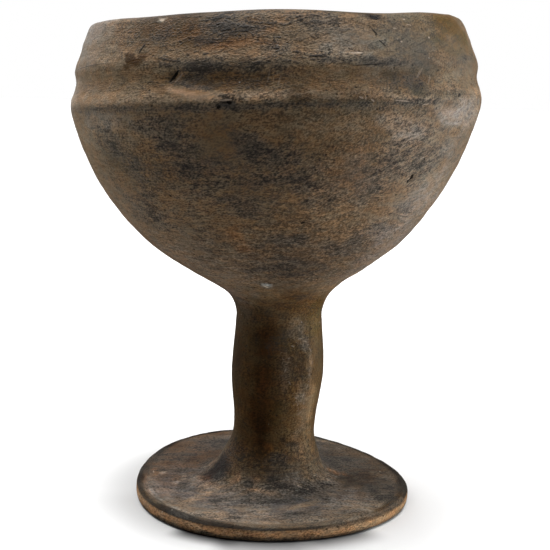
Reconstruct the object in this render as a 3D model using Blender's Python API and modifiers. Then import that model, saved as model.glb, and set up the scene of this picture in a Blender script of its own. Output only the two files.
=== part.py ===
"""A footed terracotta chalice, hand-shaped and fired in one piece.

A deep hollow bowl with an inward-leaning collar above a keeled shoulder stands on a short solid
stem and a thin disc foot. The clay is turned as one profile, and then pushed out of true the way
the potter's hands left it: the bowl tilts, the stem sways and the foot and the lip aren't round.

Run with: blender --background --python part.py
The origin is on the surface that the foot stands on, under the middle of the bounding box.
+X is the chalice's right as seen from its front, -Y is its front and +Z is up.
"""

import math

import bpy
from mathutils import Vector

MM = 0.001  # lengths below are in millimetres, and Blender's are in metres
TURNS = 72  # facets round the axis
WELD = 1e-5  # metres

# The inside of the bowl, from the middle of its floor up to the lip.
# Each knot is (radius, height, rings from here to the next knot).
BOWL_INSIDE = (
    (0.0, 96.2, 1),  # middle of the floor
    (17.0, 97.4, 2),
    (38.0, 106.0, 2),
    (61.0, 128.0, 3),
    (73.4, 150.5, 2),
    (77.6, 166.0, 2),  # widest, behind the keel
    (76.4, 181.0, 2),
    (70.4, 197.4, 1),  # inner corner of the lip
)
LIP = (
    (70.9, 199.1, 1),
    (72.6, 199.8, 1),  # top of the lip, flattened and worn
    (74.6, 199.4, 1),
)
# The outside, from the lip's outer corner down to the stem's foot.
COLLAR = (
    (75.8, 198.0, 2),  # outer corner of the lip
    (80.1, 187.6, 2),
    (82.2, 181.6, 2),  # shoulder, where the collar ends
    (81.9, 176.6, 3),  # hollow band under the shoulder
)
BOWL_OUTSIDE = (
    (84.2, 168.2, 2),  # keel, the widest ring of the chalice
    (82.1, 158.0, 3),
    (72.3, 135.0, 3),
    (54.9, 112.0, 2),
    (38.3, 99.2, 2),
    (27.6, 92.6, 2),
    (21.2, 86.9, 2),
    (18.4, 80.0, 2),  # neck
)
STEM = (
    (18.5, 74.0, 2),
    (20.0, 53.0, 2),  # the stem's swelling
    (18.1, 34.0, 2),
    (18.0, 24.5, 2),  # the stem's waist
    (20.8, 16.6, 2),
    (24.2, 10.2, 2),  # the flare that joins the stem to the disc
)
FOOT_TOP = (
    (31.0, 6.8, 1),
    (45.0, 6.0, 2),
    (57.4, 5.7, 1),  # low arris just inside the disc's edge
    (59.4, 5.3, 1),
    (60.2, 4.6, 2),
)
FOOT_EDGE = (
    (60.4, 1.8, 1),
    (60.1, 0.6, 1),
)
# The underside: a flat resting ring round a shallow dished recess. Its corners stay sharp.
UNDERSIDE = (
    (59.4, 0.0),
    (47.0, 0.0),
    (44.5, 0.9),
    (24.0, 1.8),
    (0.0, 2.2),
)

# How the potter's hands left it.
FOOT_WAVES = (  # (waves in a turn, direction of a crest, height) of the disc's outline
    (2, math.radians(-65), 2.4),
    (3, math.radians(-15), 2.1),
)
SWAY = (  # (height, how far to the right the middle of the section lies)
    (0.0, -1.1),
    (8.0, -0.8),
    (24.0, 0.9),
    (44.0, 1.8),
    (66.0, 2.4),
    (92.0, 1.9),
    (120.0, 0.9),
    (145.0, 1.0),
    (172.0, 1.8),
    (204.0, 2.1),
)
STEM_OVAL = 0.02  # share of the radius
STEM_OVAL_AXIS = math.radians(45)
STEM_OVAL_SPAN = (12.0, 26.0, 76.0, 92.0)  # fades in between the first two heights, out after
BOWL_TILT = math.radians(2.2)  # the right side of the bowl sits higher
TILT_PIVOT = 88.0
TILT_BLEND = (80.0, 96.0)  # the tilt comes in over these heights
FRONT = math.radians(-90)
KEEL_LIFT = 1.5  # the keel rises this much at the front
KEEL_SPAN = (150.0, 166.0, 170.0, 181.0)
LIP_WAVES = (  # (direction, half width, lift) of the lip's highs and lows
    (math.radians(-92), math.radians(18), 0.4),
    (math.radians(-62), math.radians(20), -0.8),
    (math.radians(-30), math.radians(28), 0.5),
    (math.radians(20), math.radians(40), 0.5),
    (math.radians(95), math.radians(45), -0.8),
    (math.radians(172), math.radians(32), 0.7),
    (math.radians(-128), math.radians(20), -0.4),
)
LIP_SPAN = (184.0, 198.0)

CLAY_BROWN = (0.115, 0.075, 0.048, 1.0)
CLAY_ROUGHNESS = 0.62


def smooth_step(value, low, high):
    """0 below low, 1 above high, and an even S between them."""
    t = min(max((value - low) / (high - low), 0.0), 1.0)
    return t * t * (3 - 2 * t)


def plateau(value, span):
    """Rises over the first two numbers of span, and falls over the last two."""
    start, full, fade, end = span
    return smooth_step(value, start, full) * (1 - smooth_step(value, fade, end))


def turn_between(angle, other):
    """The smallest turn from one direction to the other, in radians."""
    return math.remainder(angle - other, math.tau)


def bump(angle, centre, half_width):
    """1 at centre, falling smoothly to 0 at half_width either side of it."""
    share = min(abs(turn_between(angle, centre)) / half_width, 1.0)
    return 0.5 + 0.5 * math.cos(math.pi * share)


def sway_at(height):
    """Reads SWAY along a smooth curve through its rows."""
    rows = (SWAY[0], *SWAY, SWAY[-1])
    for (h0, s0), (h1, s1), (h2, s2), (h3, s3) in zip(rows, rows[1:], rows[2:], rows[3:]):
        if height <= h2:
            t = max(0.0, (height - h1) / (h2 - h1))
            slope_in = (s2 - s0) / (h2 - h0) * (h2 - h1)
            slope_out = (s3 - s1) / (h3 - h1) * (h2 - h1)
            rest = 1 - t
            ends = s1 * (1 + 2 * t) * rest**2 + s2 * (3 - 2 * t) * t**2
            return ends + slope_in * t * rest**2 - slope_out * rest * t**2
    return SWAY[-1][1]


def knot_spacing(a, b):
    """Square-root spacing keeps a Catmull-Rom curve from looping where knots crowd."""
    return math.sqrt((b - a).length)


def between(before, start, end, after, share):
    """A point on the centripetal Catmull-Rom curve from start to end."""
    t0 = 0.0
    t1 = t0 + knot_spacing(before, start)
    t2 = t1 + knot_spacing(start, end)
    t3 = t2 + knot_spacing(end, after)
    t = t1 + (t2 - t1) * share

    def mix(a, b, ta, tb):
        return a * ((tb - t) / (tb - ta)) + b * ((t - ta) / (tb - ta))

    a = mix(before, start, t0, t1)
    b = mix(start, end, t1, t2)
    c = mix(end, after, t2, t3)
    return mix(mix(a, b, t0, t2), mix(b, c, t1, t3), t1, t2)


def smooth_outline(knots):
    """Points along a smooth curve through (radius, height, rings) knots."""
    at = [Vector((radius, height)) for radius, height, _ in knots]
    ends = [at[0] * 2 - at[1], *at, at[-1] * 2 - at[-2]]
    outline = []
    for i, (_, _, rings) in enumerate(knots[:-1]):
        outline += [between(*ends[i : i + 4], ring / rings) for ring in range(rings)]
    return [*outline, at[-1]]


def profile():
    """The whole section, from the bowl's floor over the lip and down to the foot's underside."""
    knots = (*BOWL_INSIDE, *LIP, *COLLAR, *BOWL_OUTSIDE, *STEM, *FOOT_TOP, *FOOT_EDGE)
    outline = smooth_outline(knots)
    outline[0].x = 0.0
    return outline + [Vector(corner) for corner in UNDERSIDE]


def turned(outline):
    """The mesh that the outline sweeps round the Z axis."""
    mesh = bpy.data.meshes.new("profile")
    points = [(p.x * MM, 0.0, p.y * MM) for p in outline]
    mesh.from_pydata(points, [(i, i + 1) for i in range(len(points) - 1)], [])
    sweep = bpy.data.objects.new("profile", mesh)
    bpy.context.collection.objects.link(sweep)
    screw = sweep.modifiers.new("turn", "SCREW")
    screw.axis = "Z"
    screw.angle = math.tau
    screw.steps = screw.render_steps = TURNS
    screw.use_merge_vertices = True
    screw.merge_threshold = WELD
    graph = bpy.context.evaluated_depsgraph_get()
    solid = bpy.data.meshes.new_from_object(sweep.evaluated_get(graph))
    bpy.data.objects.remove(sweep)
    bpy.data.meshes.remove(mesh)
    return solid


def hand_shaped(point):
    """Moves a point of the true turned form, in millimetres, to where the potter left it."""
    x, y, z = point
    radius, angle = math.hypot(x, y), math.atan2(y, x)

    # The disc's outline wanders, and the stem is a little oval.
    disc = (1 - smooth_step(z, 6.0, 14.0)) * smooth_step(radius, 20.0, 58.0)
    radius += disc * sum(high * math.cos(n * (angle - crest)) for n, crest, high in FOOT_WAVES)
    stem = plateau(z, STEM_OVAL_SPAN)
    radius *= 1 + STEM_OVAL * stem * math.cos(2 * (angle - STEM_OVAL_AXIS))

    # The keel climbs towards the front, and the lip waves.
    z += KEEL_LIFT * plateau(z, KEEL_SPAN) * max(0.0, math.cos(angle - FRONT)) ** 2
    lip = smooth_step(z, *LIP_SPAN)
    z += lip * sum(lift * bump(angle, centre, width) for centre, width, lift in LIP_WAVES)

    x, y = radius * math.cos(angle), radius * math.sin(angle)
    # The bowl leans over on the stem, and the stem's middle wanders.
    tilt = BOWL_TILT * smooth_step(z, *TILT_BLEND)
    rise = z - TILT_PIVOT
    sway = sway_at(z)
    if tilt > 0:
        z = TILT_PIVOT + x * math.sin(tilt) + rise * math.cos(tilt)
        x = x * math.cos(tilt) - rise * math.sin(tilt)
    return x + sway, y, z


def terracotta():
    clay = bpy.data.materials.new("terracotta")
    clay.use_nodes = True
    shader = clay.node_tree.nodes["Principled BSDF"]
    shader.inputs["Base Color"].default_value = CLAY_BROWN
    shader.inputs["Roughness"].default_value = CLAY_ROUGHNESS
    shader.inputs["Metallic"].default_value = 0.0
    return clay


def chalice():
    """The one solid: bowl, stem and foot."""
    mesh = turned(profile())
    mesh.name = "chalice"
    for vertex in mesh.vertices:
        vertex.co = Vector(hand_shaped(vertex.co / MM)) * MM
    # The origin goes under the middle of the bounding box.
    for axis in (0, 1):
        places = [vertex.co[axis] for vertex in mesh.vertices]
        middle = (min(places) + max(places)) / 2
        for vertex in mesh.vertices:
            vertex.co[axis] -= middle
    mesh.shade_smooth()
    mesh.set_sharp_from_angle(angle=math.radians(40))
    mesh.materials.append(terracotta())
    return bpy.data.objects.new("chalice", mesh)


def main():
    for old in list(bpy.data.objects):
        bpy.data.objects.remove(old)
    collection = bpy.data.collections.new("terracotta_chalice")
    bpy.context.scene.collection.children.link(collection)
    collection.objects.link(chalice())


main()
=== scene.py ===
import itertools
import math

import bpy
import numpy as np
from mathutils import Matrix, Vector


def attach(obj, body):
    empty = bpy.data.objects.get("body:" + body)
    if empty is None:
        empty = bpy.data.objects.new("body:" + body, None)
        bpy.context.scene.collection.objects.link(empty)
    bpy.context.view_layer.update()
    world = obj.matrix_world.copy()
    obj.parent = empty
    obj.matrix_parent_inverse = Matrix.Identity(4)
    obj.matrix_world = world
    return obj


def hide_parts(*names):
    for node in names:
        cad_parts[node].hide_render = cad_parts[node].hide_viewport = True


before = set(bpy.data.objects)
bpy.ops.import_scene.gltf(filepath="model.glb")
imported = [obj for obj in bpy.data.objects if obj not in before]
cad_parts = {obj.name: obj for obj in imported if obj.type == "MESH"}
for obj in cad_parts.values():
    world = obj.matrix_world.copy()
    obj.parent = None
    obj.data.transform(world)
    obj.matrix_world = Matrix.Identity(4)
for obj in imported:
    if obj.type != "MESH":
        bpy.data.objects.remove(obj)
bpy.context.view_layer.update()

MM = 0.001  # the chalice below is worked out in millimetres

# ---- the turned outline
# (radius, height) knots of smooth curves, from the middle of the bowl's floor, up the inside,
# over the lip, down the outside and under the foot.
BOWL_INSIDE = (
    (0, 96.2),
    (17, 97.4),
    (38, 106),
    (61, 128),
    (73.4, 150.5),
    (77.6, 166),
    (76.4, 181),
    (70.4, 197.4),
)
LIP = ((70.9, 199.1), (72.6, 199.8), (74.6, 199.4))
COLLAR = ((75.8, 198), (80.1, 187.6), (82.2, 181.6), (81.9, 176.6))
BOWL_OUTSIDE = (
    (84.2, 168.2),
    (82.1, 158),
    (72.3, 135),
    (54.9, 112),
    (38.3, 99.2),
    (27.6, 92.6),
    (21.2, 86.9),
    (18.4, 80),
)
STEM = ((18.5, 74), (20, 53), (18.1, 34), (18, 24.5), (20.8, 16.6), (24.2, 10.2))
FOOT_TOP = ((31, 6.8), (45, 6), (57.4, 5.7), (59.4, 5.3), (60.2, 4.6))
FOOT_EDGE = ((60.4, 1.8), (60.1, 0.6))
UNDERSIDE = ((59.4, 0), (47, 0), (44.5, 0.9), (24, 1.8), (0, 2.2))
KNOTS = (*BOWL_INSIDE, *LIP, *COLLAR, *BOWL_OUTSIDE, *STEM, *FOOT_TOP, *FOOT_EDGE)
LIP_TOP = LIP[1]
CURVE_STEPS = 24  # between each two knots
FLAT_STEP = 0.5  # mm between points under the foot

# ---- how it is out of true
AXIS_X = 1.39  # where the axis that it was turned on stands, right of the origin
FRONT = -90  # directions are in degrees, anticlockwise from above, and 0 is the right
SWAY = (  # (height, how far to the right the middle of the section lies)
    (0, -1.1),
    (8, -0.8),
    (24, 0.9),
    (44, 1.8),
    (66, 2.4),
    (92, 1.9),
    (120, 0.9),
    (145, 1),
    (172, 1.8),
    (204, 2.1),
)
FOOT_WAVES = ((2, -65, 2.4), (3, -15, 2.1))  # (waves in a turn, direction of a crest, height)
FOOT_WAVES_TOP = (6, 14)  # they fade out over these heights,
FOOT_WAVES_START = (20, 58)  # and come in over these radii
LIP_WAVES = (  # (direction, half width, lift)
    (-92, 18, 0.4),
    (-62, 20, -0.8),
    (-30, 28, 0.5),
    (20, 40, 0.5),
    (95, 45, -0.8),
    (172, 32, 0.7),
    (-128, 20, -0.4),
)
LIP_SPAN = (184, 198)
STEM_OVAL = 0.02  # share of the radius
STEM_OVAL_AXIS = 45
STEM_OVAL_SPAN = (12, 26, 76, 92)
BOWL_TILT = math.radians(2.2)
TILT_PIVOT = 88.0
TILT_BLEND = (80, 96)
KEEL_LIFT = 1.5  # at the front
KEEL_SPAN = (150, 166, 170, 181)


def smooth_step(value, low, high):
    """0 below low, 1 above high, and an even S between them."""
    t = np.clip((value - low) / (high - low), 0, 1)
    return t * t * (3 - 2 * t)


def plateau(value, start, full, fade, end):
    """Rises from 0 at start to 1 at full, and falls from fade to end."""
    return smooth_step(value, start, full) * (1 - smooth_step(value, fade, end))


def turn_from(angle, degrees):
    """The turn from a direction in degrees to each angle, in radians between -pi and pi."""
    return (angle - math.radians(degrees) + math.pi) % math.tau - math.pi


def swell(angle, direction, half_width):
    """1 in one direction, falling smoothly to 0 at half_width degrees either side of it."""
    near = np.minimum(abs(turn_from(angle, direction)) / math.radians(half_width), 1)
    return 0.5 + 0.5 * np.cos(math.pi * near)


def curve_through(knots):
    """Points along the centripetal Catmull-Rom curve through the knots."""
    at = np.array(knots, float)
    at = np.vstack([2 * at[0] - at[1], at, 2 * at[-1] - at[-2]])
    share = np.arange(CURVE_STEPS)[:, None] / CURVE_STEPS
    curve = []
    for p in (at[i : i + 4] for i in range(len(at) - 3)):
        t = np.r_[0, np.cumsum(np.sqrt(np.linalg.norm(np.diff(p, axis=0), axis=1)))]
        x = t[1] + (t[2] - t[1]) * share

        def mix(a, b, ta, tb):
            return a * ((tb - x) / (tb - ta)) + b * ((x - ta) / (tb - ta))

        a, b, c = (mix(p[i], p[i + 1], t[i], t[i + 1]) for i in range(3))
        curve.append(mix(mix(a, b, t[0], t[2]), mix(b, c, t[1], t[3]), t[1], t[2]))
    return np.vstack([*curve, at[-2:-1]])


def sway_at(height):
    """Reads SWAY along a smooth curve through its rows."""
    rows = np.array(SWAY)
    h, x = rows.T
    ends = np.vstack([rows[:1], rows, rows[-1:]])
    slope = (ends[2:, 1] - ends[:-2, 1]) / (ends[2:, 0] - ends[:-2, 0])
    height = np.clip(height, h[0], h[-1])
    i = np.clip(np.searchsorted(h, height) - 1, 0, len(h) - 2)
    span = h[i + 1] - h[i]
    t = (height - h[i]) / span
    rest = 1 - t
    middle = x[i] * (1 + 2 * t) * rest**2 + x[i + 1] * (3 - 2 * t) * t**2
    return middle + slope[i] * span * t * rest**2 - slope[i + 1] * span * rest * t**2


def hand_shaped(radius, angle, z):
    """Moves points of the true turned form to where the potter's hands left them."""
    disc = (1 - smooth_step(z, *FOOT_WAVES_TOP)) * smooth_step(radius, *FOOT_WAVES_START)
    waves = sum(high * np.cos(n * turn_from(angle, crest)) for n, crest, high in FOOT_WAVES)
    radius = radius + disc * waves
    oval = STEM_OVAL * plateau(z, *STEM_OVAL_SPAN)
    radius = radius * (1 + oval * np.cos(2 * turn_from(angle, STEM_OVAL_AXIS)))
    front = np.maximum(0, np.cos(turn_from(angle, FRONT))) ** 2
    z = z + KEEL_LIFT * plateau(z, *KEEL_SPAN) * front
    wave = sum(lift * swell(angle, crest, half_width) for crest, half_width, lift in LIP_WAVES)
    z = z + smooth_step(z, *LIP_SPAN) * wave
    x, y = radius * np.cos(angle), radius * np.sin(angle)
    tilt = BOWL_TILT * smooth_step(z, *TILT_BLEND)
    rise = z - TILT_PIVOT
    sway = sway_at(z)
    tilted_x = x * np.cos(tilt) - rise * np.sin(tilt)
    tilted_z = TILT_PIVOT + x * np.sin(tilt) + rise * np.cos(tilt)
    x = np.where(tilt > 0, tilted_x, x) + sway + AXIS_X
    return np.stack([x, y, np.where(tilt > 0, tilted_z, z)], axis=-1)


# ---- relief
def scattered(cell, seed):
    """An even scatter of numbers between -1 and 1, one for each whole-number place."""
    x, y, z = (cell[..., i].astype(np.uint32) for i in range(3))
    n = x * np.uint32(374761393) + y * np.uint32(668265263) + z * np.uint32(2246822519)
    n = n + np.uint32(seed * 3266489917 % 2**32)
    n = (n ^ (n >> np.uint32(13))) * np.uint32(1274126177)
    n = n ^ (n >> np.uint32(16))
    return n.astype(float) / 2**31 - 1


def noise(points, size, seed):
    """Smooth noise between -1 and 1 with features of about the given size or sizes, in mm."""
    at = points / np.asarray(size, float) + 1000
    cell = np.floor(at).astype(np.int64)
    local = at - cell
    fade = local * local * (3 - 2 * local)
    total = 0
    for corner in itertools.product((0, 1), repeat=3):
        weight = np.prod(np.where(corner, fade, 1 - fade), axis=-1)
        total = total + weight * scattered(cell + corner, seed)
    return total


def layered(points, size, seed, layers=3):
    """Noise in finer and finer layers."""
    size = np.asarray(size, float)
    return sum(noise(points, size / 2**k, seed + k) / 2**k for k in range(layers))


# A place on the surface is given by its direction and by how many mm it lies along the outline,
# down from the top of the lip: that is above 0 outside, and below 0 inside.
OUTSIDE = -3  # marks on the outside begin here, just over the top of the lip
# Where the relief of each part of the surface starts, is full, fades and ends.
SPANS = {
    "inside": (-200, -190, -10, -3),
    "collar": (0, 2, 33, 38),
    "keel": (28, 32, 36, 42),
    "body": (36, 42, 130, 142),
    "stem": (134, 146, 208, 218),
    "foot": (212, 222, 252, 256),
    "edge": (252, 256, 258, 262),
}
# Layers of noise: (height, size of its features, seed, layers, whether it runs round with the turning,
# share of it on each part)
RELIEF = (
    (0.3, 34, 1, 3, False, {"collar": 1, "body": 1, "stem": 0.8, "foot": 0.35}),  # wander of the wall
    (0.1, (16, 16, 4.5), 7, 3, True, {"body": 1, "foot": 0.6, "collar": 0.5}),  # burnishing ridges
    (0.1, (9, 9, 14), 11, 3, True, {"stem": 1}),  # the same on the stem
    (0.12, 4.4, 17, 2, False, {"collar": 1, "body": 0.35, "foot": 0.5}),  # lumps
    (0.1, (13, 13, 2.8), 19, 2, True, {"collar": 1, "body": 0.3}),  # narrow ridges
    (0.16, 9, 29, 2, False, {"keel": 1}),  # knocks along the keel
    (0.14, (5, 5, 3), 31, 3, False, {"edge": 1}),  # rough edge of the foot
    (0.25, 22, 37, 3, False, {"inside": 1}),
)
PIT_SIZE = (4.6, 4.6, 3.2)
PIT_START = 0.66  # noise above this is a pit
PIT_DEPTH = 0.9
PITTED = {"collar": 1, "body": 0.35, "foot": 0.4}
SOFT_LIP = ((-28, 34, 0.2), (40, 30, 0.5), (120, 30, 0.5))  # (direction, half width, wear)
SOFT_LIP_SPAN = (-1.5, 2.2, 2.4, 6.5)
BED_SPAN = (261, 262.4)  # the surface grows plain here, where the foot meets the ground


def on_mark(angle, along, radius, direction, down, rise):
    """How far each point lies along a mark and across it, in mm, where the mark rises in degrees."""
    right, drop = turn_from(angle, direction) * radius, along - down
    c, s = math.cos(math.radians(rise)), math.sin(math.radians(rise))
    return right * c - drop * s, right * s + drop * c


DENTS = (  # (direction, mm down from the lip, width, height, rise in degrees, depth)
    (-101.6, 36, 4.6, 2.2, -8, 1),  # chip in the keel
    (-62.5, 3.2, 3.4, 2.8, 0, 0.9),  # nick in the lip
    (-115.3, 25.4, 1.8, 6, -40, 0.7),  # gouge in the hollow band
    (-47.5, 65.5, 1.7, 4, -35, 1.2),  # slot left by a burnt-out straw
    (-121.6, 70.5, 1.7, 1.6, 0, 0.7),
    (-81, 83, 1.7, 1.5, 0, 0.7),
    (-160, 20.5, 40, 1.4, 0, 0.22),  # incised line
    (-122, 2.4, 2.6, 1.8, 0, 0.25),
    (-60, 172, 9, 17, 8, 0.5),  # flat press mark on the stem
    (-66, 205, 5, 2.6, 0, 0.5),
    (60, 34, 7, 2.8, 0, 0.9),
    (128, 60, 2, 3, 40, 0.9),
    (25, 95, 2.4, 1.8, 0, 0.8),
    (170, 1, 5, 3.4, 0, 0.8),
    (75, 0.8, 4, 3.4, 0, 0.9),
)


def unrolled(points, along):
    """Places whose third number is how far down the outside they lie."""
    return np.stack([points[:, 0], points[:, 1], along], axis=-1)


def relief(points, angle, along, radius):
    """How far each point stands out from the smooth form, in mm."""
    places = {False: points, True: unrolled(points, along)}
    parts = {name: plateau(along, *span) for name, span in SPANS.items()}

    def on(shares):
        return sum(share * parts[name] for name, share in shares.items())

    out = 0
    for height, size, seed, layers, turned, shares in RELIEF:
        out = out + height * layered(places[turned], size, seed, layers) * on(shares)
    pits = np.maximum(0, layered(points, PIT_SIZE, 23, 2) - PIT_START)
    out = out - PIT_DEPTH * pits * on(PITTED)
    for direction, half_width, wear in SOFT_LIP:
        out = out - wear * swell(angle, direction, half_width) * plateau(along, *SOFT_LIP_SPAN)
    for direction, down, width, height, rise, depth in DENTS:
        u, v = on_mark(angle, along, radius, direction, down, rise)
        u, v = u / (width / 2), v / (height / 2)
        hollow = np.sqrt(np.clip(1 - (u * u + v * v), 0, 1))
        out = out - depth * hollow * (along > OUTSIDE)
    return out * (1 - smooth_step(along, *BED_SPAN) * (along > 0))


# ---- the colours of the clay, with some painted shadow, shade, sheen and highlight
# All colours are linear.
CLAY = (0.150, 0.098, 0.054)
TAN = (0.240, 0.165, 0.100)
BARE = (0.400, 0.272, 0.176)
RUST = (0.260, 0.130, 0.055)
OCHRE = (0.105, 0.068, 0.020)
OLIVE = (0.085, 0.062, 0.034)
UMBER = (0.055, 0.031, 0.011)
RUSSET = (0.115, 0.060, 0.020)
GREY = (0.150, 0.122, 0.092)
ASH = (0.270, 0.235, 0.190)
CHALK = (0.520, 0.480, 0.420)
BLACK = (0.020, 0.015, 0.011)
CHARRED = (0.030, 0.022, 0.014)
STAINED = (0.050, 0.021, 0.001)
BANDS = (  # (mm down from the lip, *colour) of the clay, before the marks on it
    (-110, 0.085, 0.06, 0.04),  # the bowl's floor
    (-30, 0.11, 0.076, 0.047),
    (-3, 0.12, 0.082, 0.05),
    (0, 0.062, 0.042, 0.025),
    (1.2, 0.1, 0.066, 0.037),
    (3, 0.155, 0.1, 0.054),
    (6, 0.168, 0.114, 0.068),
    (18, 0.185, 0.122, 0.068),
    (21, 0.15, 0.103, 0.06),
    (27, 0.158, 0.102, 0.052),
    (30.5, 0.16, 0.103, 0.054),
    (32.5, 0.255, 0.17, 0.1),
    (34.8, 0.24, 0.165, 0.102),
    (36.4, 0.115, 0.08, 0.047),
    (40, 0.14, 0.092, 0.05),
    (60, 0.15, 0.095, 0.048),
    (78, 0.172, 0.112, 0.062),
    (95, 0.17, 0.116, 0.07),
    (113, 0.186, 0.128, 0.078),
    (122, 0.218, 0.153, 0.096),
    (136, 0.22, 0.145, 0.082),
    (146, 0.136, 0.082, 0.036),
    (156, 0.109, 0.064, 0.024),
    (180, 0.129, 0.078, 0.032),
    (202, 0.142, 0.084, 0.034),
    (212, 0.128, 0.08, 0.037),
    (218, 0.15, 0.105, 0.062),
    (224, 0.13, 0.099, 0.071),
    (240, 0.15, 0.125, 0.107),
    (253, 0.155, 0.118, 0.084),
    (256.6, 0.11, 0.08, 0.052),
    (257, 0.03, 0.021, 0.013),
    (258.2, 0.03, 0.021, 0.013),
    (258.7, 0.4, 0.234, 0.122),
    (260.8, 0.52, 0.308, 0.165),
    (261.4, 0.185, 0.127, 0.077),
    (262.4, 0.34, 0.238, 0.15),
    (266, 0.2, 0.135, 0.086),  # underside
    (400, 0.15, 0.1, 0.064),
)
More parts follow.
